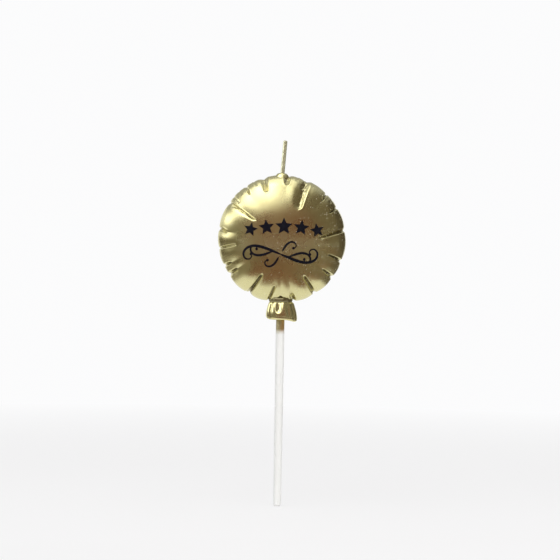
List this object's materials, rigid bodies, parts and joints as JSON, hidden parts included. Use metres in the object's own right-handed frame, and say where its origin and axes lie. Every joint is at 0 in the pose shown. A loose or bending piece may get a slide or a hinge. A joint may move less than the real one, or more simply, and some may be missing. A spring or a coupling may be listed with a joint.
{
  "type": "cake candle",
  "caption": "Cake candle in the form of a round puffed foil balloon with pleats round its rim and a flared neck, on a slim stick with a wick at the top.",
  "frame": {"origin": "centre of the small flat at the tip of the stick", "axes": "+Z along the stick from its tip to the wick, -Y out of the printed face, +X to the right seen from that face"},
  "size_m": [0.0512, 0.0176, 0.1462],
  "materials": {
    "gold_lacquer": "satin gold lacquer on wax, with a fine grain",
    "bright_gold": "bright gold lacquer",
    "white_plastic": "smooth moulded plastic",
    "cotton": "waxed cotton braid"
  },
  "bodies": {
    "root": {"balloon_body": "gold_lacquer", "neck_collar": "bright_gold", "stick": "white_plastic", "wick_core": "cotton", "wick_sheath": "gold_lacquer"}
  },
  "joints": []
}
